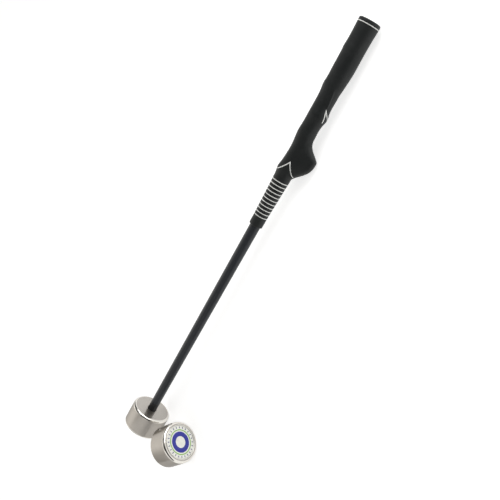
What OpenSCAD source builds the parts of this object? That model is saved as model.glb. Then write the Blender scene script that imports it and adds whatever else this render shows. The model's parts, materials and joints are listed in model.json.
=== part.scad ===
// Swing trainer stick: a short golf shaft with a moulded training grip, a round
// steel weight screwed on its tip and a second, identical weight beside it.
// The stick lies on a flat surface at z = 0 and its butt points along +X.

/* [Stick] */
// Length of the moulded grip, cap included (mm)
grip_length = 267; // [262:1:275]
// Length of bare shaft between grip and head weight (mm)
bare_shaft = 295; // [200:5:600]
// Shaft diameter at the butt (mm)
shaft_butt_d = 15.75; // [15.2:0.05:15.8]
// Shaft diameter where it meets the ferrule (mm)
shaft_tip_d = 11.8; // [11.4:0.1:12.2]
// Wall of the shaft tube (mm)
shaft_wall = 1.1; // [0.8:0.1:1.4]

/* [Weights] */
// Diameter of each weight (mm)
weight_d = 52; // [46:1:60]
// Height of each weight (mm)
weight_h = 31.5; // [28:0.5:40]
// Edge rounding of the weights (mm)
weight_round = 3; // [2:0.5:3.5]
// Distance of the loose weight from the head, along the stick (mm)
spare_along = 19.3; // [15:1:60]
// Distance of the loose weight from the head, across the stick (mm)
spare_across = 70.5; // [68:1:120]
// Angle of the loose weight's axis to the stick (degrees)
spare_turn = 34.6; // [30:1:60]

/* [Grip] */
// Radius of the butt cap (mm)
cap_r = 13.35; // [13.2:0.05:13.6]
// Furthest reach of the finger hook from the grip's axis (mm)
hook_reach = 28.5; // [27:0.1:30]
// Radius of the finger hook's rounded ridge (mm)
hook_ridge_r = 6.5; // [6:0.1:7]
// Number of white rings on the lower grip
ring_count = 11; // [3:1:11]

/* [Thread] */
// Diameter of the thread that holds the weights (mm)
thread_d = 10; // [8:0.5:10]
// Thread pitch (mm)
thread_pitch = 1.5; // [1:0.25:1.5]
// Length of stud inside the weight's thread (mm)
thread_engaged = 15; // [12:1:16]

/* [Hidden] */
// Arc and sweep resolution
$fn = 96;
sweep_sides = 32;
sweep_step = 3.4;

// Gaps: glued or seated pieces of one body, and the thread's running fit
seat_gap = 0.03;
thread_gap = 0.05;
loose_gap = 0.35;
// Overrun of a cutting tool past the face it opens
overrun = 1;

// Stick stations, measured from the head weight's outer face towards the butt
stick_length = weight_h + bare_shaft + grip_length;
weight_r = weight_d / 2;
wall_end = weight_h - weight_round;

// Butt cap and the white ring under it, measured from the butt
cap_h = 4.5;
cap_round = 1.6;
cap_ring_h = 1;
cap_neck_r = 9.4;
cap_neck_end = 7.3;
butt_gap = 0.3;
cap_dish_r = 8.5;
cap_dish_floor_r = 7.7;
cap_dish_depth = 0.8;
vent_r = 1.25;
grip_start = cap_h + cap_ring_h;

// Tip of the stick: ferrule, tip insert, stud and lock washer
counterbore_depth = 4;
washer_space = 1;
washer_h = 0.9;
flange_h = 1.2;
flange_r = 5.6;
ferrule_h = 13;
ferrule_step = 0.05;
tip_r = 4.7;
tip_wall = 0.8;
insert_h = 25;
insert_r = tip_r - tip_wall - seat_gap;
stud_r = thread_d / 2 - thread_gap;
stud_chamfer = 0.8;
seat_x = weight_h - counterbore_depth;
flange_x = seat_x + washer_space;
shaft_end_x = flange_x + flange_h;
shaft_step_x = shaft_end_x + ferrule_h;
shaft_butt_x = stick_length - cap_neck_end - butt_gap;

// Weight: badge recess, threaded socket
recess_r = 22;
recess_depth = 1.6;
counterbore_r = shaft_tip_d / 2 + loose_gap;
socket_extra = 2;
socket_depth = counterbore_depth + thread_engaged + socket_extra;
socket_r = thread_d / 2;
socket_chamfer = 0.6;

// Badge: rim, plate and printed rings
rim_r = recess_r - seat_gap;
rim_inner_r = 20.6;
rim_rise = 0.3;
plate_r = rim_inner_r - seat_gap;
plate_top = -0.35;
print_h = 0.2;
blue_inner_r = 7.3;
blue_outer_r = 13;
green_inner_r = 14.6;
green_outer_r = 15.8;
tick_count = 24;
tick_inner_r = 17;
tick_outer_r = 19.4;
tick_w = 0.9;

// Grip: tape, bore and lower sleeve, stations measured from the butt
tape_h = 0.15;
tape_inset = 4;
sleeve_start = 203;
sleeve_start_r = 10.4;
sleeve_end = 254;
sleeve_end_r = 8.8;
mouth_start = 258;
mouth_r = 8.75;
mouth_round = 0.8;
ring_first = 204.7;
ring_pitch = 4.87;
ring_w = 1.05;
ring_depth = 0.35;
ring_proud = 0.05;

// Grip: swells of the hand side and the finger side as [station, height, half width]
barrel = [[0, 13.6], [16, 12.85], [62, 12.5], [98, 11.1], [146, 11.1], [190, 10.75], [203, 10.5]];
barrel_blur = 5;
swell_fade = 8;
back_swells = [[35, 0.5, 4.7], [81, 0.95, 6.6], [141, 0.65, 7.5], [163, -1.15, 12.6], [189, 1.35, 6.1]];
front_swells = [[57, 0.65, 15.7], [86, -0.35, 5.3], [116.5, 2.05, 6.7], [132.5, -0.45, 7]];
hook_start = 136;
hook_peak = 165.3;
hook_end = 198.6;
hook_rise_power = 2.05;
hook_fall_power = 1.54;

// White V inlays as [station, degrees round from the hook]
v_half_w = 0.6;
v_depth = 0.5;
v_proud = 0.08;
v_cut_above = 1;
v_probe = 0.02;
large_v_steps = 10;
small_v_steps = 6;
large_v_apex = [177.9, 75];
large_v_ends = [[192.2, 14], [191.7, 138]];
large_v_flare = 0.75;
small_v_apex = [107.4, 36];
small_v_ends = [[121.4, 22], [117.6, -13]];
small_v_flare = 0.15;

// Lie of the stick: it rests on the head weight, the hook and the butt cap
cap_contact_x = stick_length - cap_round;
stick_tilt = atan((weight_r - cap_r) / (cap_contact_x - wall_end));
head_lift = wall_end * sin(stick_tilt) + weight_r * cos(stick_tilt);
hook_x = stick_length - hook_peak;
hook_centre_r = hook_reach - hook_ridge_r;
hook_lift = (head_lift - hook_x * sin(stick_tilt)) / cos(stick_tilt);
hook_roll = acos((hook_lift - hook_ridge_r) / hook_centre_r);

// Centre of the whole outline on the surface, which is the origin
spare_x = weight_h / 2 * cos(stick_tilt) + spare_along;
spare_reach = (weight_r - weight_round) * cos(spare_turn)
    + (weight_h / 2 - weight_round) * sin(spare_turn) + weight_round;
low_x = -(weight_r - weight_round) * sin(stick_tilt) - weight_round * (1 - cos(stick_tilt));
high_x = (stick_length - cap_round) * cos(stick_tilt) + (cap_r - cap_round) * sin(stick_tilt) + cap_round;
centre_x = (low_x + high_x) / 2;
centre_y = (weight_r - spare_across - spare_reach) / 2;

// Smooth step from 0 to 1
function ease(t) = let (c = min(max(t, 0), 1)) c * c * (3 - 2 * c);
// Rounded hump of height 1
function hump(x, centre, half) = exp(-pow((x - centre) / half, 2));
function swell(b, list) = [for (s = list) s[1] * hump(b, s[0], s[2])] * [for (s = list) 1];
function barrel_r(b) =
    (lookup(b - barrel_blur, barrel) + 2 * lookup(b, barrel) + lookup(b + barrel_blur, barrel)) / 4;
function fade(b) = ease((sleeve_start - b) / swell_fade);
function back_r(b) = barrel_r(b) + fade(b) * swell(b, back_swells);
function front_r(b) = barrel_r(b) + fade(b) * swell(b, front_swells);
function hook_amount(b) =
    ease(pow(max(b - hook_start, 0) / (hook_peak - hook_start), hook_rise_power))
    * (1 - ease(pow(max(b - hook_peak, 0) / (hook_end - hook_peak), hook_fall_power)));
// Distance to the outline of a circle joined to the hook's smaller ridge circle
function teardrop(angle, base, reach) =
    let (
        d = reach - hook_ridge_r,
        a = abs(angle),
        tangent = acos(min((base - hook_ridge_r) / d, 1)),
        ridge_end = atan2(hook_ridge_r * sin(tangent), d + hook_ridge_r * cos(tangent))
    )
    a <= ridge_end ? d * cos(a) + sqrt(max(pow(hook_ridge_r, 2) - pow(d * sin(a), 2), 0))
    : a < tangent ? base / cos(tangent - a)
    : base;
function grip_r(b, angle) =
    let (
        a = angle > 180 ? angle - 360 : angle,
        base = front_r(b),
        side = (1 + cos(a)) / 2,
        reach = base + (hook_reach - base) * hook_amount(b)
    )
    base * side + back_r(b) * (1 - side) + teardrop(a, base, reach) - base;
// Point on the grip, in the stick's own frame
function on_grip(b, angle, rise) =
    let (r = grip_r(b, angle) + rise, turn = hook_roll + angle)
    [stick_length - b, -r * sin(turn), -r * cos(turn)];
function shaft_r(x) =
    (shaft_tip_d + (shaft_butt_d - shaft_tip_d) * (x - shaft_step_x) / (stick_length - shaft_step_x)) / 2;
function bore_r(x) = shaft_r(x) + tape_h + 2 * seat_gap;
function sleeve_r(b) =
    sleeve_start_r + (sleeve_end_r - sleeve_start_r) * (b - sleeve_start) / (sleeve_end - sleeve_start);
function ring_b(i) = ring_first + i * ring_pitch;

// Place a stick piece on the surface
module lay_stick() {
    translate([-centre_x, -centre_y, head_lift])
        rotate([0, stick_tilt, 0])
            children();
}

// Turn a profile of [radius, distance from the head's outer face] round the stick
module around_stick() {
    rotate([0, 90, 0])
        rotate_extrude()
            children();
}

// Place a weight drawn with its badge face at z = 0 and facing +Z
module at_head() {
    lay_stick()
        rotate([0, -90, 0])
            children();
}

module at_spare() {
    translate([spare_x - centre_x, -spare_across - centre_y, weight_r])
        rotate([0, 0, -spare_turn])
            rotate([0, 90, 0])
                translate([0, 0, weight_h / 2])
                    children();
}

// Solid grip without its bore, from the cap ring down to the lower sleeve
module grip_swells() {
    count = round((sleeve_start - grip_start) / sweep_step);
    step = (sleeve_start - grip_start) / count;
    turn = 360 / sweep_sides;
    points = [for (i = [0:count]) for (j = [0:sweep_sides - 1]) on_grip(grip_start + i * step, j * turn, 0)];
    walls = [
        for (i = [0:count - 1])
            for (j = [0:sweep_sides - 1])
                let (k = (j + 1) % sweep_sides, a = i * sweep_sides, b = (i + 1) * sweep_sides)
                    each [[a + j, b + j, b + k], [a + j, b + k, a + k]]
    ];
    first = [for (j = [0:sweep_sides - 1]) j];
    last = [for (j = [sweep_sides - 1:-1:0]) count * sweep_sides + j];
    polyhedron(points, concat([first], walls, [last]));
}

// Lower sleeve profile with a groove for each ring
module sleeve_profile() {
    difference() {
        polygon([
            [0, stick_length - sleeve_start],
            [sleeve_start_r, stick_length - sleeve_start],
            [sleeve_end_r, stick_length - sleeve_end],
            [mouth_r, stick_length - mouth_start],
            [mouth_r, stick_length - grip_length + mouth_round],
            [mouth_r - mouth_round, stick_length - grip_length],
            [0, stick_length - grip_length]
        ]);
        for (i = [0:ring_count - 1])
            translate([sleeve_r(ring_b(i)) - ring_depth, stick_length - ring_b(i) - ring_w / 2])
                square([ring_depth + overrun, ring_w]);
    }
}

// Strip that follows the grip down one arm of a V, round its apex and down the other
module v_inlay(apex, ends, flare, steps, half_w, low, high) {
    function along(q) = (1 - flare) * q + flare * sin(90 * q);
    function at(t) =
        let (q = abs(t), end = t < 0 ? ends[0] : ends[1])
        [apex[0] + (end[0] - apex[0]) * along(q), apex[1] + (end[1] - apex[1]) * q];
    function point(t, rise) = on_grip(at(t)[0], at(t)[1], rise);
    function outward(t) = let (turn = hook_roll + at(t)[1]) [0, -sin(turn), -cos(turn)];
    function heading(from, to) = let (v = point(to, 0) - point(from, 0)) v / norm(v);
    function before(t) = heading(t - v_probe, t);
    function after(t) = heading(t, t + v_probe);
    function sideways(t) =
        let (c = cross(before(t) + after(t), outward(t)), u = c / norm(c))
        u / norm(cross(u, before(t)));
    function corners(t) = [
        point(t, low) - half_w * sideways(t),
        point(t, high) - half_w * sideways(t),
        point(t, high) + half_w * sideways(t),
        point(t, low) + half_w * sideways(t)
    ];
    count = 2 * steps;
    points = [for (i = [0:count]) each corners(i / steps - 1)];
    walls = [
        for (i = [0:count - 1])
            for (j = [0:3])
                let (a = 4 * i, b = 4 * i + 4, k = (j + 1) % 4)
                    each [[a + j, b + k, b + j], [a + j, a + k, b + k]]
    ];
    polyhedron(points, concat([[3, 2, 1, 0]], walls, [[for (j = [0:3]) 4 * count + j]]));
}

module large_v_strip(half_w, low, high) {
    v_inlay(large_v_apex, large_v_ends, large_v_flare, large_v_steps, half_w, low, high);
}

module small_v_strip(half_w, low, high) {
    v_inlay(small_v_apex, small_v_ends, small_v_flare, small_v_steps, half_w, low, high);
}

module grip_body() {
    bore_end = stick_length - grip_length;
    bore_top = stick_length - cap_neck_end;
    color("#33383a")
        lay_stick()
            difference() {
                union() {
                    grip_swells();
                    around_stick() sleeve_profile();
                }
                around_stick()
                    polygon([
                        [0, bore_end - overrun],
                        [bore_r(bore_end - overrun), bore_end - overrun],
                        [bore_r(bore_top), bore_top],
                        [0, bore_top]
                    ]);
                translate([bore_top - overrun, 0, 0])
                    rotate([0, 90, 0])
                        cylinder(r = cap_neck_r + seat_gap, h = cap_neck_end);
                large_v_strip(v_half_w + seat_gap, -v_depth - seat_gap, v_cut_above);
                small_v_strip(v_half_w + seat_gap, -v_depth - seat_gap, v_cut_above);
            }
}

module large_v() {
    color("#dcdcd6")
        lay_stick()
            large_v_strip(v_half_w, -v_depth, v_proud);
}

module small_v() {
    color("#dcdcd6")
        lay_stick()
            small_v_strip(v_half_w, -v_depth, v_proud);
}

module grip_rings() {
    color("#dcdcd6")
        lay_stick()
            for (i = [0:ring_count - 1])
                around_stick()
                    translate([0, stick_length - ring_b(i)])
                        polygon([
                            [sleeve_r(ring_b(i)) - ring_depth + seat_gap, -ring_w / 2 + seat_gap],
                            [sleeve_r(ring_b(i)) + ring_proud, -ring_w / 2 + seat_gap],
                            [sleeve_r(ring_b(i)) + ring_proud, ring_w / 2 - seat_gap],
                            [sleeve_r(ring_b(i)) - ring_depth + seat_gap, ring_w / 2 - seat_gap]
                        ]);
}

module butt_cap() {
    color("#2c3032")
        lay_stick()
            difference() {
                around_stick() {
                    translate([0, stick_length - cap_h])
                        square([cap_r - cap_round, cap_h]);
                    translate([0, stick_length - cap_h])
                        square([cap_r, cap_h - cap_round]);
                    translate([cap_r - cap_round, stick_length - cap_round])
                        circle(r = cap_round);
                    translate([0, stick_length - cap_neck_end + seat_gap])
                        square([cap_neck_r, cap_neck_end - cap_h]);
                }
                translate([stick_length - cap_dish_depth, 0, 0])
                    rotate([0, 90, 0])
                        cylinder(r1 = cap_dish_floor_r, r2 = cap_dish_r, h = cap_dish_depth + seat_gap);
                translate([stick_length - cap_neck_end - overrun, 0, 0])
                    rotate([0, 90, 0])
                        cylinder(r = vent_r, h = cap_neck_end + 2 * overrun);
            }
}

module cap_ring() {
    color("#dcdcd6")
        lay_stick()
            around_stick()
                translate([cap_neck_r + seat_gap, stick_length - grip_start + seat_gap])
                    square([cap_r - cap_neck_r - seat_gap, cap_ring_h - 2 * seat_gap]);
}

module grip_tape() {
    tape_low = stick_length - grip_length + tape_inset;
    tape_high = shaft_butt_x - tape_inset;
    color("#b9b39a")
        lay_stick()
            around_stick()
                polygon([
                    [shaft_r(tape_low) + seat_gap, tape_low],
                    [shaft_r(tape_low) + seat_gap + tape_h, tape_low],
                    [shaft_r(tape_high) + seat_gap + tape_h, tape_high],
                    [shaft_r(tape_high) + seat_gap, tape_high]
                ]);
}

module shaft() {
    color("#3b3e42")
        lay_stick()
            around_stick()
                polygon([
                    [tip_r - tip_wall, shaft_end_x],
                    [tip_r, shaft_end_x],
                    [tip_r, shaft_step_x],
                    [shaft_r(shaft_step_x), shaft_step_x],
                    [shaft_r(shaft_butt_x), shaft_butt_x],
                    [shaft_r(shaft_butt_x) - shaft_wall, shaft_butt_x],
                    [shaft_r(shaft_step_x + insert_h) - shaft_wall, shaft_step_x + insert_h],
                    [tip_r - tip_wall, shaft_step_x + insert_h / 2]
                ]);
}

module ferrule() {
    color("#202225")
        lay_stick()
            around_stick()
                polygon([
                    [tip_r + seat_gap, shaft_end_x],
                    [shaft_tip_d / 2 - ferrule_step, shaft_end_x],
                    [shaft_tip_d / 2 + ferrule_step, shaft_step_x - seat_gap],
                    [tip_r + seat_gap, shaft_step_x - seat_gap]
                ]);
}

module tip_insert() {
    stud_end = seat_x - thread_engaged;
    color("#b4b0a8")
        lay_stick()
            around_stick()
                polygon([
                    [0, stud_end],
                    [stud_r - stud_chamfer, stud_end],
                    [stud_r, stud_end + stud_chamfer],
                    [stud_r, flange_x],
                    [flange_r, flange_x],
                    [flange_r, shaft_end_x - seat_gap],
                    [insert_r, shaft_end_x - seat_gap],
                    [insert_r, shaft_end_x + insert_h],
                    [0, shaft_end_x + insert_h]
                ]);
}

module lock_washer() {
    color("#26282a")
        lay_stick()
            around_stick()
                translate([stud_r + 2 * thread_gap, seat_x + thread_gap])
                    square([flange_r - stud_r - 2 * thread_gap, washer_h]);
}

// Steel weight, badge face at z = 0, threaded socket opening towards -Z
module weight_body() {
    difference() {
        rotate_extrude() {
            translate([0, -weight_h])
                square([weight_r - weight_round, weight_h]);
            translate([0, -weight_h + weight_round])
                square([weight_r, weight_h - 2 * weight_round]);
            for (z = [-weight_round, -weight_h + weight_round])
                translate([weight_r - weight_round, z])
                    circle(r = weight_round);
        }
        translate([0, 0, -recess_depth])
            cylinder(r = recess_r, h = recess_depth + overrun);
        translate([0, 0, -weight_h - overrun])
            cylinder(r = counterbore_r, h = counterbore_depth + overrun);
        translate([0, 0, -weight_h])
            cylinder(r = socket_r, h = socket_depth);
        translate([0, 0, -weight_h + counterbore_depth])
            cylinder(r1 = socket_r + socket_chamfer, r2 = socket_r, h = socket_chamfer);
    }
}

module badge_rim() {
    rotate_extrude()
        polygon([
            [rim_inner_r, -recess_depth + seat_gap],
            [rim_r, -recess_depth + seat_gap],
            [rim_r, rim_rise / 2],
            [rim_r - rim_rise, rim_rise],
            [rim_inner_r + rim_rise, rim_rise],
            [rim_inner_r, 0]
        ]);
}

module badge_plate() {
    translate([0, 0, -recess_depth + seat_gap])
        cylinder(r = plate_r, h = plate_top + recess_depth - seat_gap);
}

module printed_ring(inner, outer) {
    rotate_extrude()
        translate([inner, plate_top])
            square([outer - inner, print_h]);
}

module printed_ticks() {
    for (i = [0:tick_count - 1])
        rotate([0, 0, i * 360 / tick_count])
            translate([tick_inner_r, -tick_w / 2, plate_top])
                cube([tick_outer_r - tick_inner_r, tick_w, print_h]);
}

module head_weight() {
    color("#b9b4ac") at_head() weight_body();
}

module head_rim() {
    color("#d8d6d0") at_head() badge_rim();
}

module head_plate() {
    color("#d7d7cd") at_head() badge_plate();
}

module head_blue() {
    color("#2d35a0") at_head() printed_ring(blue_inner_r, blue_outer_r);
}

module head_green() {
    color("#8cbe5a") at_head() printed_ring(green_inner_r, green_outer_r);
}

module head_ticks() {
    color("#3a3f78") at_head() printed_ticks();
}

module spare_weight() {
    color("#b9b4ac") at_spare() weight_body();
}

module spare_rim() {
    color("#d8d6d0") at_spare() badge_rim();
}

module spare_plate() {
    color("#d7d7cd") at_spare() badge_plate();
}

module spare_blue() {
    color("#2d35a0") at_spare() printed_ring(blue_inner_r, blue_outer_r);
}

module spare_green() {
    color("#8cbe5a") at_spare() printed_ring(green_inner_r, green_outer_r);
}

module spare_ticks() {
    color("#3a3f78") at_spare() printed_ticks();
}

grip_body();
butt_cap();
cap_ring();
grip_rings();
large_v();
small_v();
grip_tape();
shaft();
ferrule();
tip_insert();
lock_washer();
head_weight();
head_rim();
head_plate();
head_blue();
head_green();
head_ticks();
spare_weight();
spare_rim();
spare_plate();
spare_blue();
spare_green();
spare_ticks();
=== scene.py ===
import json
import math

import bpy
from mathutils import Matrix, Vector


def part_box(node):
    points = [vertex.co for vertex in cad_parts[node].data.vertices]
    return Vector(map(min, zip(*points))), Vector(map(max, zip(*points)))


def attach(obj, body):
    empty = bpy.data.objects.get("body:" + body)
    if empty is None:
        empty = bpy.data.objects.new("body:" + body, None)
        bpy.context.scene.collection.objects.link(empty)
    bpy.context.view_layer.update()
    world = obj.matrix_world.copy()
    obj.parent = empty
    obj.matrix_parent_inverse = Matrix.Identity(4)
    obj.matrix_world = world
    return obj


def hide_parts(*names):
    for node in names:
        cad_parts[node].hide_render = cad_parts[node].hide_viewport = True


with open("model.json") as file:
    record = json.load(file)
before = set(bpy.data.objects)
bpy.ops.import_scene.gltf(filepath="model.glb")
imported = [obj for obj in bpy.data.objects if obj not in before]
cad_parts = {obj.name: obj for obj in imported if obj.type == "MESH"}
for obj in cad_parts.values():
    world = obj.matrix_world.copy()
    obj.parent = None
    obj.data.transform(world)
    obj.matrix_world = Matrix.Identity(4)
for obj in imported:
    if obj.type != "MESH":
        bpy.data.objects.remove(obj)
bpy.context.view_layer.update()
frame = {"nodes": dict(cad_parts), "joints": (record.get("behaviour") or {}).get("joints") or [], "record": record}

# ---------------------------------------------------------------- sizes, in millimetres as in the CAD
# b is a distance from the butt, and x a distance from the head weight's outer face.
MM = 0.001
GAP = 0.03  # between pieces that are glued or seated

# weights and overall length
# the last size is how far the smoother finish and the painted highlight fade in on the weights' rounded edges
WEIGHT_H, WEIGHT_R, WEIGHT_ROUND, POLISH_AND_HIGHLIGHT_FADE = 31.5, 26.0, 3.0, 0.35
BARE_SHAFT, GRIP_L = 295.0, 267.0
STICK_L = WEIGHT_H + BARE_SHAFT + GRIP_L

# butt cap and the ring under it
CAP_R, CAP_ROUND, CAP_H, CAP_EDGE = 13.35, 1.6, 4.5, 0.15
CAP_RING_H, CAP_RING_EDGE = 1.0, 0.1
CAP_NECK_R, CAP_NECK_END, CAP_LIP = 9.4, 7.3, 0.2
CAP_DISH_R, CAP_DISH_DEPTH, VENT_R = 9.0, 0.8, 1.25
# from the edge of the dish's floor to the vent, as radius and height over the floor
CAP_DISH_FLOOR = [(8.2, 0.1), (7.9, 0), (2.0, 0), (1.55, -0.05), (VENT_R, -0.3)]

# hand part of the grip: a barrel of (b, radius), with swells of (b, height, width) at its back and front.
# The barrel, the swells and the hook are rounded results of a least-squares fit to the photograph's
# outline, apart from the barrel's b positions, its first and last radius, and RIDGE_R.
BARREL = [(0, 13.6), (16, 12.85), (62, 12.5), (98, 11.1), (146, 11.1), (190, 10.75), (203, 10.5)]
BARREL_BLUR, SWELL_FADE = 5, 8
BACK_SWELLS = [(35, 0.5, 4.7), (81, 0.95, 6.6), (141, 0.65, 7.5), (163, -1.15, 12.6), (189, 1.35, 6.1)]
FRONT_SWELLS = [(57, 0.65, 15.7), (86, -0.35, 5.3), (116.5, 2.05, 6.7), (132.5, -0.45, 7)]
GRIP_START, GRIP_START_R = CAP_H + CAP_RING_H, 13.0

# finger hook
HOOK_REACH, RIDGE_R = 28.5, 6.5
HOOK_START, HOOK_PEAK, HOOK_END = 136.0, 165.3, 198.6
HOOK_RISE, HOOK_FALL = 2.05, 1.54

# soft ridge above the small V, which leans as it runs down the grip
CREASE_START, CREASE_RISE, CREASE_END, CREASE_FALL = 80, 8, 108, 7
CREASE_ANGLE, CREASE_LEAN, CREASE_H, CREASE_W = 58, 0.75, 0.95, 6.5

# lower sleeve, its ring grooves and its mouth
SLEEVE_START, SLEEVE_START_R, SLEEVE_END, SLEEVE_END_R = 203.0, 10.4, 254.0, 8.8
RING_FIRST, RING_PITCH, RING_W, RING_COUNT = 204.7, 4.87, 1.05, 11
GROOVE_DEPTH, GROOVE_LEAD, GROOVE_DROP = 0.35, 0.12, 0.06
RING_PROUD, RING_EDGE, RING_ROOT = 0.05, 0.12, 0.3
MOUTH_START, MOUTH_MIDDLE, MOUTH_R, MOUTH_ROUND, MOUTH_EDGE = 258.0, 262.0, 8.75, 0.8, 0.3
TAPE_AT_CAP, TAPE_AT_MOUTH = 0.25, 0.21

# the two V's: (b, degrees round the grip) of the apex and the ends, and how far the arms bow
LARGE_V_APEX, LARGE_V_ENDS, LARGE_V_FLARE = (177.9, 75), ((192.2, 14), (191.7, 138)), 0.75
SMALL_V_APEX, SMALL_V_ENDS, SMALL_V_FLARE = (107.4, 36), ((121.4, 22), (117.6, -13)), 0.15
V_HALF_W, V_STEPS, V_END_TAPER = 0.62, 26, 0.72
V_MITRE, V_NUDGE = 0.09, 0.02
V_SIDE = [(1, -0.45), (1, 0.0), (0.82, 0.07), (0.4, 0.1)]
V_SECTION = [(-across, rise) for across, rise in V_SIDE] + V_SIDE[::-1]

# socket in each weight, and the tip of the stick that fits it
THREAD_PITCH, THREAD_ENGAGED = 1.5, 15.0
COUNTERBORE_R, COUNTERBORE_DEPTH, COUNTERBORE_EDGE = 6.25, 4.0, 0.25
SOCKET_R, SOCKET_DEPTH, SOCKET_CHAMFER, SOCKET_POINT = 5.0, 21.0, 0.6, 1.2
SOCKET_THREAD_FROM, SOCKET_THREAD_SPARE = 4.9, 0.3
SOCKET_GROOVE = [(0, 0), (0.32, 0.55), (0.32, 0.7), (0, 1.25)]
SEAT = WEIGHT_H - COUNTERBORE_DEPTH
WASHER_SPACE, FLANGE_H, FERRULE_H = 1.0, 1.2, 13.0
FLANGE = SEAT + WASHER_SPACE
SHAFT_END = FLANGE + FLANGE_H
STEP = SHAFT_END + FERRULE_H

# shaft, ferrule, insert and washer
SHAFT_TIP_D, SHAFT_BUTT_D, SHAFT_WALL, SHAFT_EDGE = 11.8, 15.75, 1.1, 0.1
BUTT_GAP = 0.3
SHAFT_BUTT = STICK_L - CAP_NECK_END - BUTT_GAP
SHAFT_ROWS = (90, 150, 210, 270, 330, 420, 500)
TIP_R, TIP_BORE_R, STEP_EDGE = 4.7, 3.9, 0.08
BORE_WIDENS_FROM, BORE_WIDENS_TO = STEP + 12, STEP + 25
FERRULE_R, FERRULE_SWELL, FERRULE_EDGE = 5.85, 0.08, 0.15
INSERT_R, INSERT_L, INSERT_POINT_H, INSERT_POINT_W = 3.85, 25, 0.5, 0.45
FLANGE_R, FLANGE_EDGE = 5.6, 0.1
STUD_R, STUD_POINT_R, STUD_DRAFT, STUD_CHAMFER = 4.12, 3.3, 0.07, 0.75
STUD_COLLAR_R, STUD_COLLAR_H, STUD_COLLAR_SLOPE = 4.95, 0.55, 0.05
STUD_THREAD_FROM, STUD_THREAD_SHORT = 1.2, 1.4
STUD_RIDGE = [(-0.46, -0.12), (-0.06, 0.83), (0.06, 0.83), (0.46, -0.12)]
WASHER_INNER_R, WASHER_OUTER_R, WASHER_INSET, WASHER_EDGE = 5.06, 5.58, 0.06, 0.08

# badge: heights are measured from the weight's outer face, which is z = 0
RECESS_R, RECESS_DEPTH, RECESS_EDGE, RECESS_CHAMFER = 22.0, 1.6, 0.1, 0.15
RIM_INNER_R, RIM_INNER_ROUND, RIM_OUTER_ROUND = 20.6, 0.35, 0.37
RIM_SIDE_TOP, RIM_OUTER_Z, RIM_INNER_Z = -0.1, -0.07, -0.05
PLATE_TOP, PLATE_EDGE = -0.35, 0.15
BLUE_RING, GREEN_RING, TICKS = (7.3, 13.0), (14.6, 15.8), (17.0, 19.4)
PRINT_BASE, PRINT_TOP = -0.36, -0.15
RING_PRINT_SIDE, RING_PRINT_BEND, RING_PRINT_BEVEL, RING_PRINT_CROWN = -0.24, -0.18, 0.1, 0.35
TICK_COUNT, TICK_HALF_W, TICK_SIDE, TICK_BEVEL = 24, 0.45, -0.22, 0.1

# ---------------------------------------------------------------- view and light
# Lengths are in metres, apart from the sensor's width and the lens, which are in millimetres.
# A perspective camera fitted to the photograph gave these axes, and this place from under the head weight.
CAMERA_RIGHT = (0.45649, -0.47943, -0.74951)
CAMERA_UP = (0.83792, 0.51493, 0.18096)
CAMERA_FROM_HEAD = (0.51293, -0.56222, 0.51035)
CAMERA_ROLL, CAMERA_SHIFT = 0.0008, (-0.001, 0.001)
SENSOR_W, LENS = 36, 45.36
FLOOR_HALF, FLOOR_DROP = 9.0, 0.0001

# Light tent: room light, lobes that add to it and gaps that dim it.
# A lobe or gap is its direction, inner and outer angle in degrees, and its gain or what is left of the light.
ROOM = 0.4
LOBES = [
    ((-0.6, 0.72, 0.33), 20, 62, 1.05),
    ((-0.75, -0.1, 0.65), 15, 60, 0.12),
]
GAPS = [
    ((0.22, -0.68, 0.7), 15, 34, 0.03),
    ((0.0, -0.35, 0.93), 10, 26, 0.2),
    ((0.0, -0.93, 0.35), 12, 28, 0.1),
    ((-0.56, -0.82, 0.05), 8, 26, 0.4),
    ((0.15, 0.4, 0.9), 10, 28, 0.15),
    ((0.45, 0.85, 0.25), 15, 40, 0.3),
    ((-1.0, -0.1, 0.1), 20, 50, 0.5),
]

# ---------------------------------------------------------------- frames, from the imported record
joints = {j["name"]: j for j in frame["joints"]}
mounts = {m["name"]: m for m in frame["record"]["mounts"]}
tip_way = Vector(joints["head_spin"]["axis"]).normalized()
tilt = math.asin(tip_way.z)
origin = Vector(joints["head_spin"]["pos_m"]) + tip_way * WEIGHT_H / 2 * MM
LAY = Matrix.Translation(origin) @ Matrix.Rotation(tilt, 4, "Y")
STICK = LAY @ Matrix.Rotation(math.radians(90), 4, "Y")
HEAD = LAY @ Matrix.Rotation(math.radians(-90), 4, "Y")
spare_lo, spare_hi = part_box("spare_weight")
spare_out = -Vector(mounts["spare_thread"]["axis"]).normalized()
SPARE = (
    Matrix.Translation((Vector(spare_lo) + Vector(spare_hi)) / 2)
    @ Matrix.Rotation(math.atan2(spare_out.y, spare_out.x), 4, "Z")
    @ Matrix.Rotation(math.radians(90), 4, "Y")
    @ Matrix.Translation((0, 0, WEIGHT_H / 2 * MM))
)
HOOK_LIFT = (origin.z / MM - (STICK_L - HOOK_PEAK) * math.sin(tilt)) / math.cos(tilt)
ROLL = math.acos((HOOK_LIFT - RIDGE_R) / (HOOK_REACH - RIDGE_R))


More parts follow.
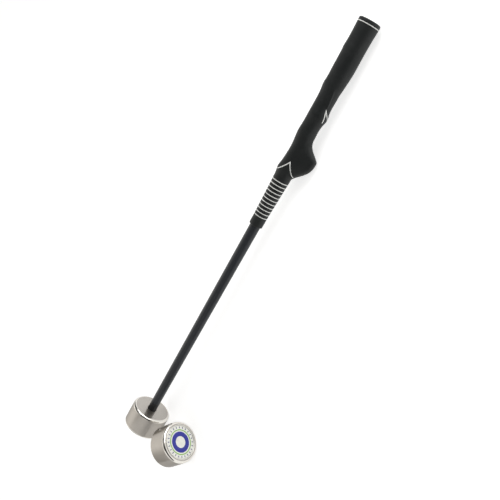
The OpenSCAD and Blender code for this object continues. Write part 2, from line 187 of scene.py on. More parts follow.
# ---------------------------------------------------------------- materials
class Nodes:
    """A material's node tree, with short calls for the nodes used here."""

    def __init__(self, name, own=True):
        self.mat = bpy.data.materials.new(name)
        self.mat.use_nodes = True
        self.tree = self.mat.node_tree
        self.shader = self.tree.nodes["Principled BSDF"]
        if own:
            self.coord = self.stored("own", "Vector")
        else:
            self.coord = self.tree.nodes.new("ShaderNodeTexCoord").outputs["Object"]

    def stored(self, name, output="Fac"):
        n = self.tree.nodes.new("ShaderNodeAttribute")
        n.attribute_name = name
        return n.outputs[output]

    def link(self, value, socket):
        if isinstance(value, bpy.types.NodeSocket):
            self.tree.links.new(value, socket)
        else:
            socket.default_value = value

    def stretched(self, scale):
        n = self.tree.nodes.new("ShaderNodeMapping")
        n.inputs["Scale"].default_value = scale
        self.link(self.coord, n.inputs["Vector"])
        return n.outputs["Vector"]

    def noise(self, scale, detail=3.0, rough=0.55, vector=None):
        n = self.tree.nodes.new("ShaderNodeTexNoise")
        n.inputs["Scale"].default_value = scale
        n.inputs["Detail"].default_value = detail
        n.inputs["Roughness"].default_value = rough
        self.link(vector or self.coord, n.inputs["Vector"])
        return n.outputs["Fac"]

    def off_axis(self):
        """Distance from the piece's own axis."""
        flat = self.tree.nodes.new("ShaderNodeVectorMath")
        flat.operation = "MULTIPLY"
        self.link(self.coord, flat.inputs[0])
        flat.inputs[1].default_value = (1, 1, 0)
        size = self.tree.nodes.new("ShaderNodeVectorMath")
        size.operation = "LENGTH"
        self.link(flat.outputs["Vector"], size.inputs[0])
        return size.outputs["Value"]

    def cells(self, scale):
        n = self.tree.nodes.new("ShaderNodeTexVoronoi")
        n.inputs["Scale"].default_value = scale
        self.link(self.coord, n.inputs["Vector"])
        return n.outputs["Distance"]

    def spread(self, value, low, high, to_low, to_high):
        n = self.tree.nodes.new("ShaderNodeMapRange")
        for socket, v in zip(n.inputs, (value, low, high, to_low, to_high)):
            self.link(v, socket)
        return n.outputs["Result"]

    def math(self, kind, a, b):
        n = self.tree.nodes.new("ShaderNodeMath")
        n.operation = kind
        self.link(a, n.inputs[0])
        self.link(b, n.inputs[1])
        return n.outputs[0]

    def mix(self, fac, a, b):
        n = self.tree.nodes.new("ShaderNodeMix")
        n.data_type = "RGBA"
        self.link(fac, n.inputs["Factor"])
        self.link(a if isinstance(a, bpy.types.NodeSocket) else (*a, 1), n.inputs["A"])
        self.link(b if isinstance(b, bpy.types.NodeSocket) else (*b, 1), n.inputs["B"])
        return n.outputs["Result"]

    def edges(self):
        """1 on sharp outer edges, 0 on flat or hollow places."""
        n = self.tree.nodes.new("ShaderNodeNewGeometry")
        return self.spread(n.outputs["Pointiness"], 0.51, 0.58, 0, 1)

    def bump(self, layers):
        normal = None
        for height, distance in layers:
            n = self.tree.nodes.new("ShaderNodeBump")
            n.inputs["Strength"].default_value = 1
            n.inputs["Distance"].default_value = distance
            self.link(height, n.inputs["Height"])
            if normal:
                self.link(normal, n.inputs["Normal"])
            normal = n.outputs["Normal"]
        self.link(normal, self.shader.inputs["Normal"])

    def set(self, **values):
        for key, v in values.items():
            socket = self.shader.inputs[key.replace("_", " ")]
            if isinstance(v, tuple) and len(v) == 3:
                v = (*v, 1)
            self.link(v, socket)
        return self.mat


def scaled(colour, by):
    return tuple(c * by for c in colour)


def rubber(name, colour, grain=1600.0, roughness=0.5):
    n = Nodes(name)
    blotch = n.spread(n.noise(45, 4), 0.35, 0.65, 0, 1)
    speck = n.spread(n.noise(grain * 0.6, 2), 0.3, 0.7, 0, 1)
    tone = n.mix(blotch, scaled(colour, 0.86), scaled(colour, 1.14))
    tone = n.mix(n.math("MULTIPLY", speck, 0.25), tone, scaled(colour, 1.5))
    tone = n.mix(n.math("MULTIPLY", n.edges(), 0.35), tone, scaled(colour, 2.0))
    n.bump([(n.noise(grain, 3), 0.00006), (n.cells(grain * 0.45), 0.00003), (n.noise(160, 2), 0.00008)])
    n.set(Specular_IOR_Level=0.3)
    rough = n.spread(n.noise(70, 3), 0.3, 0.7, roughness - 0.06, roughness + 0.08)
    return n.set(Base_Color=tone, Roughness=rough)


def paint_fill(name, colour):
    n = Nodes(name)
    dirt = n.spread(n.noise(320, 4), 0.52, 0.75, 0, 1)
    tone = n.mix(n.math("MULTIPLY", dirt, 0.35), colour, scaled(colour, 0.62))
    tone = n.mix(n.spread(n.noise(60, 2), 0.3, 0.7, 0, 0.4), tone, scaled(colour, 0.9))
    n.bump([(n.noise(1800, 2), 0.00003), (n.noise(300, 2), 0.00004)])
    return n.set(Base_Color=tone, Roughness=n.spread(n.noise(200, 2), 0.3, 0.7, 0.42, 0.6))


def plated(name, colour, low, high, edge_highlight_colour=None, coat=0.0):
    """Metal with a fine blasted grain. The colour given for the polished edges is a painted highlight there, and
    those edges are also made smoother.
    """
    n = Nodes(name)
    cloud = n.spread(n.noise(38, 4), 0.35, 0.65, 0, 1)
    speck = n.spread(n.noise(1900, 3, 0.7), 0.3, 0.7, 0, 1)
    tone = n.mix(cloud, scaled(colour, 0.94), scaled(colour, 1.05))
    tone = n.mix(n.math("MULTIPLY", speck, 0.25), tone, scaled(colour, 0.72))
    rough = n.spread(n.noise(900, 4, 0.65), 0.3, 0.7, low, high)
    # on the polished edges: a lighter colour, which is a painted highlight, and a lower roughness, which is real
    # polish
    if edge_highlight_colour:
        polish_and_highlight = n.stored("polish_and_highlight")
        tone = n.mix(polish_and_highlight, tone, edge_highlight_colour)
        rough = n.math("MULTIPLY", rough, n.spread(polish_and_highlight, 0, 1, 1, 0.35))
    n.bump([(n.noise(2600, 3, 0.7), 0.000012), (n.noise(55, 2), 0.00004)])
    if coat:
        face_end, side_start = (WEIGHT_R - 0.4) * MM, (WEIGHT_R - 0.05) * MM
        lacquer = n.spread(n.off_axis(), face_end, side_start, coat, coat * 0.45)
        n.set(Coat_Weight=lacquer, Coat_Roughness=0.12, Coat_IOR=2.4)
    n.set(Specular_Tint=(0.28, 0.27, 0.26))
    return n.set(Base_Color=tone, Metallic=1.0, Roughness=rough)


def coated(name, colour, roughness, gloss, coat, streak=(1, 1, 1)):
    """Sprayed or moulded hard finish with a slight orange peel and streaks along the piece."""
    n = Nodes(name)
    lines = n.noise(900, 4, 0.7, n.stretched(streak))
    tone = n.mix(n.spread(lines, 0.3, 0.7, 0, 1), scaled(colour, 0.85), scaled(colour, 1.18))
    tone = n.mix(n.math("MULTIPLY", n.edges(), 0.3), tone, scaled(colour, 2.2))
    n.bump([(n.noise(700, 2), 0.00003), (lines, 0.000015)])
    rough = n.spread(lines, 0.3, 0.7, roughness - 0.06, roughness + 0.08)
    n.set(Specular_IOR_Level=gloss)
    return n.set(Base_Color=tone, Roughness=rough, Coat_Weight=coat, Coat_Roughness=0.2)


def enamel(name, colour, roughness, metallic, coat):
    n = Nodes(name)
    fleck = n.spread(n.noise(2400, 2, 0.7), 0.35, 0.7, 0, 1)
    tone = n.mix(n.math("MULTIPLY", fleck, 0.3), colour, scaled(colour, 1.35))
    tone = n.mix(n.spread(n.noise(180, 3), 0.4, 0.7, 0, 0.35), tone, scaled(colour, 0.8))
    n.bump([(n.noise(420, 2), 0.00004), (n.noise(2400, 2), 0.000008)])
    rough = n.spread(n.noise(300, 3), 0.3, 0.7, roughness - 0.05, roughness + 0.08)
    return n.set(Base_Color=tone, Roughness=rough, Metallic=metallic, Coat_Weight=coat, Coat_Roughness=0.08)


def paper(name, colour):
    n = Nodes(name, own=False)
    fibre = n.noise(700, 5, 0.7, n.stretched((0.15, 1, 1)))
    tone = n.mix(n.spread(fibre, 0.3, 0.7, 0, 1), scaled(colour, 0.8), scaled(colour, 1.12))
    n.bump([(fibre, 0.00005)])
    return n.set(Base_Color=tone, Roughness=n.spread(fibre, 0.3, 0.7, 0.7, 0.9))


MATS = {
    "grip_rubber": rubber("grip_rubber", (0.0115, 0.0135, 0.0135)),
    "white_inlay": paint_fill("white_inlay", (0.86, 0.87, 0.84)),
    "tape": paper("tape", (0.46, 0.42, 0.32)),
    "shaft_coat": coated("shaft_coat", (0.017, 0.020, 0.025), 0.4, 0.35, 0.1, (1, 1, 0.02)),
    "ferrule_plastic": coated("ferrule_plastic", (0.015, 0.0155, 0.017), 0.36, 0.3, 0.1),
    "insert_steel": plated("insert_steel", (0.50, 0.48, 0.45), 0.22, 0.36),
    "washer_rubber": rubber("washer_rubber", (0.02, 0.02, 0.02), 2200.0, 0.6),
    # the lighter edge colour of the weights is a painted highlight on their rounded edges
    "weight_nickel": plated(
        "weight_nickel", (0.36, 0.33, 0.29), 0.32, 0.42, edge_highlight_colour=(0.72, 0.69, 0.63), coat=1.0
    ),
    "badge_rim": plated("badge_rim", (0.70, 0.68, 0.63), 0.12, 0.2),
    "badge_plate": enamel("badge_plate", (0.72, 0.72, 0.67), 0.36, 0.1, 0.2),
    "badge_blue": enamel("badge_blue", (0.008, 0.013, 0.26), 0.42, 0.0, 0.1),
    "badge_green": enamel("badge_green", (0.2, 0.42, 0.06), 0.4, 0.0, 0.1),
    "badge_ticks": enamel("badge_ticks", (0.012, 0.015, 0.14), 0.42, 0.0, 0.1),
}
SLOT_OF = {s["node"]: s["material_slot"] for s in frame["record"]["subparts"]}


# ---------------------------------------------------------------- mesh building
def new_piece(name, verts, faces, place, slot, body, stands_for, sharp=32, polish_and_highlight=None):
    """verts are in millimetres in the piece's own frame, and the patterns read them from "own"."""
    own = [Vector(v) * MM for v in verts]
    mesh = bpy.data.meshes.new(name)
    mesh.from_pydata([place @ v for v in own], [], faces)
    kept = mesh.attributes.new("own", "FLOAT_VECTOR", "POINT")
    kept.data.foreach_set("vector", [c for v in own for c in v])
    if polish_and_highlight:
        mesh.attributes.new("polish_and_highlight", "FLOAT", "POINT").data.foreach_set("value", [polish_and_highlight(v) for v in verts])
    mesh.polygons.foreach_set("use_smooth", [True] * len(mesh.polygons))
    mesh.set_sharp_from_angle(angle=math.radians(sharp))
    mesh.materials.append(MATS[slot])
    obj = bpy.data.objects.new(name, mesh)
    bpy.context.scene.collection.objects.link(obj)
    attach(obj, body)
    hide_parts(*stands_for)
    return obj


def arc(centre_r, centre_z, radius, start, end, steps=8):
    """Points of an arc in a lathe profile, angles in degrees from +r towards +z."""
    out = []
    for i in range(steps + 1):
        a = math.radians(start + (end - start) * i / steps)
        out.append((centre_r + radius * math.cos(a), centre_z + radius * math.sin(a)))
    return out


def lathe_mesh(profile, sides, verts, faces):
    """A closed profile of (r, z) turned round local Z. Points at r = 0 close to a single vertex."""
    rows = []
    for r, z in profile:
        if r < 1e-6:
            rows.append([len(verts)])
            verts.append((0, 0, z))
        else:
            rows.append(list(range(len(verts), len(verts) + sides)))
            angles = [2 * math.pi * j / sides for j in range(sides)]
            verts += [(r * math.cos(a), r * math.sin(a), z) for a in angles]
    for a, b in zip(rows, rows[1:] + rows[:1]):
        if len(a) == 1 and len(b) == 1:
            continue
        for j in range(sides):
            k = (j + 1) % sides
            quad = [a[j % len(a)], a[k % len(a)], b[k % len(b)], b[j % len(b)]]
            quad = [v for i, v in enumerate(quad) if v not in quad[:i]]
            faces.append(quad)


def band(inner, outer, low, high, edge_r, edge_z):
    """Lathe profile of a flat ring whose two outer edges are bevelled."""
    return [
        (inner, low),
        (outer - edge_r, low),
        (outer, low + edge_z),
        (outer, high - edge_z),
        (outer - edge_r, high),
        (inner, high),
    ]


def area_of(profile):
    return sum(a[0] * b[1] - b[0] * a[1] for a, b in zip(profile, profile[1:] + profile[:1]))


def lathe(name, profiles, place, slot, body, stands_for, sides=128, sharp=32, polish_and_highlight=None):
    verts, faces = [], []
    for profile in profiles:
        lathe_mesh(profile if area_of(profile) > 0 else profile[::-1], sides, verts, faces)
    return new_piece(name, verts, faces, place, slot, body, stands_for, sharp, polish_and_highlight)


# ---------------------------------------------------------------- the grip's surface
def ease(t):
    t = min(max(t, 0.0), 1.0)
    return t * t * (3 - 2 * t)


def lookup(x, table):
    if x <= table[0][0]:
        return table[0][1]
    for (x0, y0), (x1, y1) in zip(table, table[1:]):
        if x <= x1:
            return y0 + (y1 - y0) * (x - x0) / (x1 - x0)
    return table[-1][1]


def side_r(b, swells):
    low, mid, high = (lookup(b + d, BARREL) for d in (-BARREL_BLUR, 0, BARREL_BLUR))
    hump = sum(h * math.exp(-(((b - c) / w) ** 2)) for c, h, w in swells)
    return (low + 2 * mid + high) / 4 + ease((SLEEVE_START - b) / SWELL_FADE) * hump


def hook_amount(b):
    rise = ease((max(b - HOOK_START, 0) / (HOOK_PEAK - HOOK_START)) ** HOOK_RISE)
    fall = ease((max(b - HOOK_PEAK, 0) / (HOOK_END - HOOK_PEAK)) ** HOOK_FALL)
    return rise * (1 - fall)


def teardrop(angle, base, reach):
    d, a = reach - RIDGE_R, abs(angle)
    tangent = math.acos(min((base - RIDGE_R) / d, 1))
    ridge_end = math.atan2(RIDGE_R * math.sin(tangent), d + RIDGE_R * math.cos(tangent))
    if a <= ridge_end:
        return d * math.cos(a) + math.sqrt(max(RIDGE_R**2 - (d * math.sin(a)) ** 2, 0))
    return base / math.cos(tangent - a) if a < tangent else base


def wrapped(degrees):
    return (degrees + 180) % 360 - 180


def crease(b, degrees):
    """Soft ridge that runs down to the point of the small V."""
    across = wrapped(degrees) - (CREASE_ANGLE - (b - CREASE_START) * CREASE_LEAN)
    along = ease((b - CREASE_START) / CREASE_RISE) * ease((CREASE_END - b) / CREASE_FALL)
    return CREASE_H * along * math.exp(-((across / CREASE_W) ** 2))


def grip_r(b, degrees):
    a = math.radians(wrapped(degrees))
    front, back = side_r(b, FRONT_SWELLS), side_r(b, BACK_SWELLS)
    side = (1 + math.cos(a)) / 2
    reach = front + (HOOK_REACH - front) * hook_amount(b)
    hook = teardrop(a, front, reach) - front
    return front * side + back * (1 - side) + hook + crease(b, degrees)


def sleeve_r(b):
    taper = (SLEEVE_END_R - SLEEVE_START_R) / (SLEEVE_END - SLEEVE_START)
    return SLEEVE_START_R + taper * (b - SLEEVE_START)


def ring_at(i):
    return RING_FIRST + i * RING_PITCH


def on_grip(b, degrees, rise=0.0, r=None):
    """Point on the grip in the stick's own frame, with X along the stick."""
    r = (grip_r(b, degrees) if r is None else r) + rise
    turn = ROLL + math.radians(degrees)
    return (STICK_L - b, -r * math.sin(turn), -r * math.cos(turn))


# ---------------------------------------------------------------- the grip
def shaft_r(x):
    return (SHAFT_TIP_D + (SHAFT_BUTT_D - SHAFT_TIP_D) * (x - STEP) / (STICK_L - STEP)) / 2


def groove_rows(b):
    low, high = b - RING_W / 2, b + RING_W / 2
    floor_r = sleeve_r(b) - GROOVE_DEPTH
    return [
        (low - GROOVE_LEAD, sleeve_r(low)),
        (low, sleeve_r(low) - GROOVE_DROP),
        (low, floor_r),
        (high, floor_r),
        (high, sleeve_r(high) - GROOVE_DROP),
        (high + GROOVE_LEAD, sleeve_r(high)),
    ]


def grip_rows():
    """(b, radius) of each row of the grip's closed skin. A radius of None follows the swells."""
    recess_r = CAP_NECK_R + GAP
    rows = [(CAP_NECK_END, shaft_r(STICK_L - CAP_NECK_END) + TAPE_AT_CAP), (CAP_NECK_END, recess_r)]
    rows += [(GRIP_START, recess_r), (GRIP_START, GRIP_START_R)]
    count = 260
    rows += [(GRIP_START + (SLEEVE_START - GRIP_START) * i / count, None) for i in range(count + 1)]
    for i in range(RING_COUNT):
        rows += groove_rows(ring_at(i))
    rows += [(SLEEVE_END, SLEEVE_END_R), (MOUTH_START, MOUTH_R), (MOUTH_MIDDLE, MOUTH_R)]
    for t in (0, 0.4, 0.8, 1.2, 1.5708):
        along, out = MOUTH_ROUND * math.sin(t), MOUTH_ROUND * math.cos(t)
        rows.append((GRIP_L - MOUTH_ROUND + along, MOUTH_R - MOUTH_ROUND + out))
    mouth = shaft_r(STICK_L - GRIP_L) + TAPE_AT_MOUTH
    return rows + [(GRIP_L, mouth + MOUTH_EDGE), (GRIP_L - MOUTH_EDGE, mouth)]


def build_grip():
    sides = 144
    rows = grip_rows()
    verts = [on_grip(b, 360 * j / sides, 0, r) for b, r in rows for j in range(sides)]
    faces = []
    for i in range(len(rows)):
        a, b = i * sides, ((i + 1) % len(rows)) * sides
        for j in range(sides):
            k = (j + 1) % sides
            faces.append((a + j, b + j, b + k, a + k))
    new_piece("grip", verts, faces, LAY, "grip_rubber", "stick", ["grip_body"], 40)


def build_v(name, apex, ends, flare, stands_for):
    """White line inlaid in the grip: out of one end, round the apex and down the other."""

    def at(t):
        q, end = abs(t), ends[0] if t < 0 else ends[1]
        b = apex[0] + (end[0] - apex[0]) * ((1 - flare) * q + flare * math.sin(math.pi / 2 * q))
        return b, apex[1] + (end[1] - apex[1]) * q

    def heading(t0, t1):
        return (Vector(on_grip(*at(t1))) - Vector(on_grip(*at(t0)))).normalized()

    stations = [i / V_STEPS - 1 for i in range(2 * V_STEPS + 1)]
    stations = [t for t in stations if t == 0 or abs(t) > V_MITRE]
    last = len(stations) - 1
    verts, faces = [], []
    for i, t in enumerate(stations):
        b, a = at(t)
        turn = ROLL + math.radians(a)
        outward = Vector((0, -math.sin(turn), -math.cos(turn)))
        before, after = heading(t - V_NUDGE, t), heading(t, t + V_NUDGE)
        side = (before + after).cross(outward).normalized()
        side /= side.cross(before).length
        taper = V_END_TAPER if i in (0, last) else 1.0
        for across, rise in V_SECTION:
            verts.append(tuple(Vector(on_grip(b, a, rise)) + side * across * V_HALF_W * taper))
    m = len(V_SECTION)
    for i in range(last):
        for j in range(m):
            k = (j + 1) % m
            faces.append((i * m + j, i * m + k, (i + 1) * m + k, (i + 1) * m + j))
    faces.append(tuple(range(m))[::-1])
    faces.append(tuple(range(last * m, (last + 1) * m)))
    new_piece(name, verts, faces, LAY, "white_inlay", "stick", stands_for, 50)


def build_grip_lines():
    lines = []
    half = RING_W / 2 - GAP
    for i in range(RING_COUNT):
        r, z = sleeve_r(ring_at(i)), STICK_L - ring_at(i)
        lines.append(band(r - RING_ROOT, r + RING_PROUD, z - half, z + half, RING_PROUD, RING_EDGE))
    lathe("grip_lines", lines, STICK, "white_inlay", "stick", ["grip_rings"], 96)


def build_cap():
    neck, seat, floor = STICK_L - CAP_NECK_END, STICK_L - CAP_H, STICK_L - CAP_DISH_DEPTH
    cap = [(VENT_R, neck), (CAP_NECK_R - CAP_LIP, neck), (CAP_NECK_R, neck + CAP_LIP), (CAP_NECK_R, seat)]
    cap += [(CAP_R - CAP_EDGE, seat), (CAP_R, seat + CAP_EDGE)]
    cap += arc(CAP_R - CAP_ROUND, STICK_L - CAP_ROUND, CAP_ROUND, 0, 90, 10)
    cap += [(CAP_DISH_R + CAP_LIP, STICK_L)] + arc(CAP_DISH_R, STICK_L - CAP_LIP, CAP_LIP, 90, 180, 4)
    cap += [(r, floor + height) for r, height in CAP_DISH_FLOOR]
    lathe("butt_cap_end", [cap], STICK, "grip_rubber", "stick", ["butt_cap"])


def build_cap_line():
    top = STICK_L - CAP_H
    line = band(CAP_NECK_R + GAP, CAP_R, top - CAP_RING_H + GAP, top - GAP, CAP_RING_EDGE, CAP_RING_EDGE)
    lathe("cap_line", [line], STICK, "white_inlay", "stick", ["cap_ring"])


# ---------------------------------------------------------------- shaft, ferrule, insert, washer
def build_shaft():
    butt_r = shaft_r(SHAFT_BUTT)
    tube = [(TIP_BORE_R, SHAFT_END), (TIP_R - SHAFT_EDGE, SHAFT_END), (TIP_R, SHAFT_END + SHAFT_EDGE)]
    tube += [(TIP_R, STEP), (shaft_r(STEP) - STEP_EDGE, STEP), (shaft_r(STEP), STEP + STEP_EDGE)]
    tube += [(shaft_r(x), x) for x in SHAFT_ROWS]
    tube += [(butt_r, SHAFT_BUTT - SHAFT_EDGE), (butt_r - SHAFT_EDGE, SHAFT_BUTT)]
    tube += [(butt_r - SHAFT_WALL, SHAFT_BUTT), (shaft_r(BORE_WIDENS_TO) - SHAFT_WALL, BORE_WIDENS_TO)]
    tube += [(TIP_BORE_R, BORE_WIDENS_FROM)]
    lathe("shaft_tube", [tube], STICK, "shaft_coat", "stick", ["shaft"], 96)


def build_ferrule():
    inner, end = TIP_R + GAP, STEP - GAP
    ferrule = [(inner, SHAFT_END), (FERRULE_R - FERRULE_EDGE, SHAFT_END)]
    ferrule += [(FERRULE_R, SHAFT_END + FERRULE_EDGE), (FERRULE_R + FERRULE_SWELL, STEP - 2 * FERRULE_EDGE)]
    ferrule += [(FERRULE_R, end), (inner, end)]
    lathe("shaft_ferrule", [ferrule], STICK, "ferrule_plastic", "stick", ["ferrule"], 96)


def helix(section, core_r, z0, z1):
    """Closed strip that winds up a thread's flank. section is one pitch of (fraction of pitch, depth)."""
    sides = 48
    rows = int((z1 - z0) / THREAD_PITCH * sides) + 1
    verts, faces = [], []
    for i in range(rows):
        a = 2 * math.pi * i / sides
        fade = min(1.0, i / sides, (rows - 1 - i) / sides)
        for f, depth in section:
            r = core_r + depth * fade
            verts.append((r * math.cos(a), r * math.sin(a), z0 + THREAD_PITCH * (i / sides + f)))
    m = len(section)
    for i in range(rows - 1):
        for j in range(m):
            k = (j + 1) % m
            faces.append((i * m + j, (i + 1) * m + j, (i + 1) * m + k, i * m + k))
    faces.append(tuple(range(m)))
    faces.append(tuple(range((rows - 1) * m, rows * m))[::-1])
    return verts, faces


def build_insert():
    stud, back, end = SEAT - THREAD_ENGAGED, SHAFT_END - GAP, SHAFT_END + INSERT_L
    collar = FLANGE - STUD_COLLAR_H
    profile = [(0, stud), (STUD_POINT_R, stud), (STUD_R - STUD_DRAFT, stud + STUD_CHAMFER)]
    profile += [(STUD_R, collar - STUD_COLLAR_SLOPE), (STUD_COLLAR_R, collar), (STUD_COLLAR_R, FLANGE)]
    profile += [(FLANGE_R - FLANGE_EDGE, FLANGE), (FLANGE_R, FLANGE + FLANGE_EDGE)]
    profile += [(FLANGE_R, back - FLANGE_EDGE), (FLANGE_R - FLANGE_EDGE, back), (INSERT_R, back)]
    profile += [(INSERT_R, end - INSERT_POINT_H), (INSERT_R - INSERT_POINT_W, end), (0, end)]
    verts, faces = [], []
    lathe_mesh(profile, 96, verts, faces)
    ridge, walls = helix(STUD_RIDGE, STUD_R, stud + STUD_THREAD_FROM, FLANGE - STUD_THREAD_SHORT)
    faces += [tuple(v + len(verts) for v in f) for f in walls]
    verts += ridge
    new_piece("tip_stud", verts, faces, STICK, "insert_steel", "stick", ["tip_insert"], 30)


def build_washer():
    low, high = SEAT + WASHER_INSET, FLANGE - WASHER_INSET
    washer = band(WASHER_INNER_R, WASHER_OUTER_R, low, high, WASHER_EDGE, WASHER_EDGE)
    lathe("seat_washer", [washer], STICK, "washer_rubber", "seat", ["lock_washer"], 96)


# ---------------------------------------------------------------- weights and badges
def on_fillet(v):
    """1 on the rounded outer edges of a weight, 0 on its faces and side; it masks the smoother finish and the
    painted highlight on those edges.
    """
    past_face = math.hypot(v[0], v[1]) - (WEIGHT_R - WEIGHT_ROUND)
    past_side = abs(v[2] + WEIGHT_H / 2) - (WEIGHT_H / 2 - WEIGHT_ROUND)
    return min(max(min(past_face, past_side) / POLISH_AND_HIGHLIGHT_FADE, 0), 1)


def socket_profile():
    """Counterbore, threaded wall and drilled point of the socket in a weight's inner face."""
    mouth, floor, end = -WEIGHT_H, COUNTERBORE_DEPTH - WEIGHT_H, SOCKET_DEPTH - WEIGHT_H
    p = [(COUNTERBORE_R + COUNTERBORE_EDGE, mouth), (COUNTERBORE_R, mouth + COUNTERBORE_EDGE)]
    p += [(COUNTERBORE_R, floor), (SOCKET_R + SOCKET_CHAMFER, floor), (SOCKET_R, floor + SOCKET_CHAMFER)]
    first = mouth + SOCKET_THREAD_FROM
    for i in range(int((end - first - SOCKET_THREAD_SPARE) / THREAD_PITCH)):
        p += [(SOCKET_R + depth, first + i * THREAD_PITCH + along) for depth, along in SOCKET_GROOVE]
    return p + [(SOCKET_R, end), (0, end + SOCKET_POINT)]


def build_weight(name, place, body, stands_for):
    flat_r = WEIGHT_R - WEIGHT_ROUND
    p = [(0, -RECESS_DEPTH), (RECESS_R - RECESS_EDGE, -RECESS_DEPTH), (RECESS_R, RECESS_EDGE - RECESS_DEPTH)]
    p += [(RECESS_R, -RECESS_CHAMFER), (RECESS_R + RECESS_CHAMFER, 0)]
    p += arc(flat_r, -WEIGHT_ROUND, WEIGHT_ROUND, 90, 0, 14)
    p += arc(flat_r, WEIGHT_ROUND - WEIGHT_H, WEIGHT_ROUND, 0, -90, 14)
    p += socket_profile()
    lathe(name, [p], place, "weight_nickel", body, stands_for, 192, 32, on_fillet)


def build_rim(prefix, place, body):
    low, outer_r = GAP - RECESS_DEPTH, RECESS_R - GAP
    rim = [(RIM_INNER_R, low), (outer_r, low), (outer_r, RIM_SIDE_TOP)]
    rim += arc(outer_r - RIM_OUTER_ROUND, RIM_OUTER_Z, RIM_OUTER_ROUND, 0, 90, 6)
    rim += arc(RIM_INNER_R + RIM_INNER_ROUND, RIM_INNER_Z, RIM_INNER_ROUND, 90, 180, 6)
    lathe(prefix + "_badge_rim", [rim], place, "badge_rim", body, [prefix + "_rim"], 160)


def build_plate(prefix, place, body):
    low, r = GAP - RECESS_DEPTH, RIM_INNER_R - GAP
    plate = [(0, low), (r, low), (r, PLATE_TOP - PLATE_EDGE), (r - PLATE_EDGE, PLATE_TOP), (0, PLATE_TOP)]
    lathe(prefix + "_badge_plate", [plate], place, "badge_plate", body, [prefix + "_plate"], 160)


def build_printed_ring(prefix, colour, inner, outer, place, body):
    ring = [(inner, PRINT_BASE), (outer, PRINT_BASE), (outer, RING_PRINT_SIDE)]
    ring += [(outer - RING_PRINT_BEVEL, RING_PRINT_BEND), (outer - RING_PRINT_CROWN, PRINT_TOP)]
    ring += [(inner + RING_PRINT_CROWN, PRINT_TOP), (inner + RING_PRINT_BEVEL, RING_PRINT_BEND)]
    ring += [(inner, RING_PRINT_SIDE)]
    name, slot = f"{prefix}_badge_{colour}", f"badge_{colour}"
    lathe(name, [ring], place, slot, body, [f"{prefix}_{colour}"], 160)


def build_ticks(prefix, place, body):
    verts, faces = [], []
    start, end = TICKS
    for i in range(TICK_COUNT):
        turn = Matrix.Rotation(math.radians(360 / TICK_COUNT * i), 3, "Z")
        base = len(verts)
        for inset, z in ((0, PRINT_BASE), (0, TICK_SIDE), (TICK_BEVEL, PRINT_TOP)):
            x0, x1, y = start + inset, end - inset, TICK_HALF_W - inset
            verts += [tuple(turn @ Vector(v)) for v in ((x0, -y, z), (x1, -y, z), (x1, y, z), (x0, y, z))]
        for low in (base, base + 4):
            for j in range(4):
                k = (j + 1) % 4
                faces.append((low + j, low + k, low + 4 + k, low + 4 + j))
        faces.append((base + 3, base + 2, base + 1, base))
        faces.append((base + 8, base + 9, base + 10, base + 11))
    new_piece(prefix + "_badge_ticks", verts, faces, place, "badge_ticks", body, [prefix + "_ticks"])


def build_badge(prefix, place, body):
    build_rim(prefix, place, body)
    build_plate(prefix, place, body)
    build_printed_ring(prefix, "blue", *BLUE_RING, place, body)
    build_printed_ring(prefix, "green", *GREEN_RING, place, body)
    build_ticks(prefix, place, body)


# ---------------------------------------------------------------- camera, floor and light
def set_camera():
    cam = bpy.data.objects.new("camera", bpy.data.cameras.new("camera"))
    bpy.context.scene.collection.objects.link(cam)
    under_head = LAY @ Vector((WEIGHT_H / 2 * MM, 0, 0))
    under_head.z = 0
    right, up = Vector(CAMERA_RIGHT), Vector(CAMERA_UP)
    m = Matrix((right, up, right.cross(up))).transposed().to_4x4()
    m = m @ Matrix.Rotation(CAMERA_ROLL, 4, "Z")
    m.translation = under_head + Vector(CAMERA_FROM_HEAD)
    cam.matrix_world = m
    cam.data.sensor_width = SENSOR_W
    cam.data.lens = LENS
    cam.data.shift_x, cam.data.shift_y = CAMERA_SHIFT
    cam.data.clip_start = 0.05
    cam.data.clip_end = 40
    bpy.context.scene.camera = cam


def set_floor():
    mesh = bpy.data.meshes.new("floor")
    s = FLOOR_HALF
    mesh.from_pydata([(-s, -s, 0), (s, -s, 0), (s, s, 0), (-s, s, 0)], [], [(0, 1, 2, 3)])
    floor = bpy.data.objects.new("floor", mesh)
    bpy.context.scene.collection.objects.link(floor)
    floor.location.z = -FLOOR_DROP
    n = Nodes("floor", own=False)
    n.set(Base_Color=(0.62, 0.62, 0.62), Roughness=0.9, Specular_IOR_Level=0.0)
    n.set(Emission_Color=(1.0, 1.0, 0.995), Emission_Strength=0.7)
    mesh.materials.append(n.mat)


def add_light(name, at, size, power, aim):
    data = bpy.data.lights.new(name, "AREA")
    data.shape = "RECTANGLE"
    data.size, data.size_y = size
    data.energy = power
    obj = bpy.data.objects.new(name, data)
    bpy.context.scene.collection.objects.link(obj)
    obj.location = at
    obj.rotation_mode = "QUATERNION"
    obj.rotation_quaternion = (Vector(aim) - Vector(at)).to_track_quat("-Z", "Y")


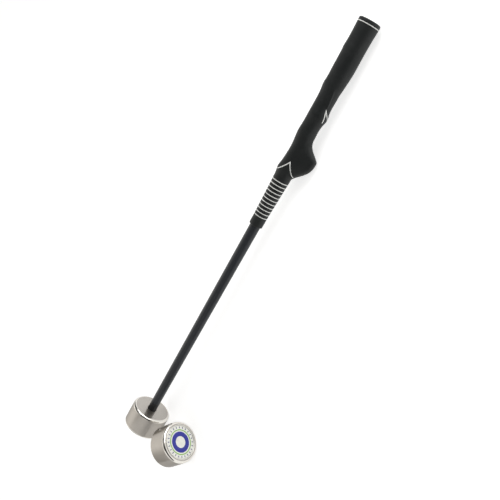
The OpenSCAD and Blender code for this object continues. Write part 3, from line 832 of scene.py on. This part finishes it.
def set_world():
    """Light tent: room light and soft lobes, with dark gaps among them."""
    world = bpy.data.worlds.new("studio")
    bpy.context.scene.world = world
    world.use_nodes = True
    t = world.node_tree
    back = t.nodes["Background"]
    coord = t.nodes.new("ShaderNodeTexCoord")

    def patch(way, inner, outer, outside, inside):
        """A smooth step from one value outside a cone round a direction to another inside it."""
        dot = t.nodes.new("ShaderNodeVectorMath")
        dot.operation = "DOT_PRODUCT"
        dot.inputs[1].default_value = Vector(way).normalized()
        t.links.new(coord.outputs["Generated"], dot.inputs[0])
        ramp = t.nodes.new("ShaderNodeMapRange")
        ramp.interpolation_type = "SMOOTHSTEP"
        limits = (math.cos(math.radians(outer)), math.cos(math.radians(inner)), outside, inside)
        for i, v in enumerate(limits, 1):
            ramp.inputs[i].default_value = v
        t.links.new(dot.outputs["Value"], ramp.inputs[0])
        return ramp.outputs["Result"]

    def combine(kind, a, b):
        n = t.nodes.new("ShaderNodeMath")
        n.operation = kind
        for socket, v in zip(n.inputs, (a, b)):
            if isinstance(v, bpy.types.NodeSocket):
                t.links.new(v, socket)
            else:
                socket.default_value = v
        return n.outputs[0]

    total = ROOM
    for way, inner, outer, gain in LOBES:
        total = combine("ADD", total, patch(way, inner, outer, 0.0, gain))
    for way, inner, outer, left in GAPS:
        total = combine("MULTIPLY", total, patch(way, inner, outer, 1.0, left))
    t.links.new(total, back.inputs["Strength"])
    back.inputs["Color"].default_value = (1.0, 0.985, 0.96, 1)


# ---------------------------------------------------------------- everything, in order
build_grip()
build_v("large_v_line", LARGE_V_APEX, LARGE_V_ENDS, LARGE_V_FLARE, ["large_v"])
build_v("small_v_line", SMALL_V_APEX, SMALL_V_ENDS, SMALL_V_FLARE, ["small_v"])
build_grip_lines()
build_cap()
build_cap_line()
build_shaft()
build_ferrule()
build_insert()
build_washer()
build_weight("head_puck", HEAD, "head", ["head_weight"])
build_badge("head", HEAD, "head")
build_weight("spare_puck", SPARE, "spare", ["spare_weight"])
build_badge("spare", SPARE, "spare")

# CAD nodes that stay in view keep their shape and take the same finishes
for node, obj in frame["nodes"].items():
    for slot in obj.material_slots:
        slot.material = MATS[SLOT_OF[node]]

set_camera()
set_floor()
set_world()
add_light("butt_softbox", at=(1.6, 0.1, 0.34), size=(2.2, 0.7), power=17, aim=(-0.3, 0, 0.03))
add_light("grip_softbox", at=(0.7, 0.15, 0.5), size=(0.4, 0.4), power=2.0, aim=(0.28, 0, 0.02))
add_light("head_softbox", at=(-0.95, -0.45, 0.55), size=(1.1, 1.1), power=2.4, aim=(-0.2, 0, 0.03))
bpy.context.scene.view_settings.view_transform = "Standard"
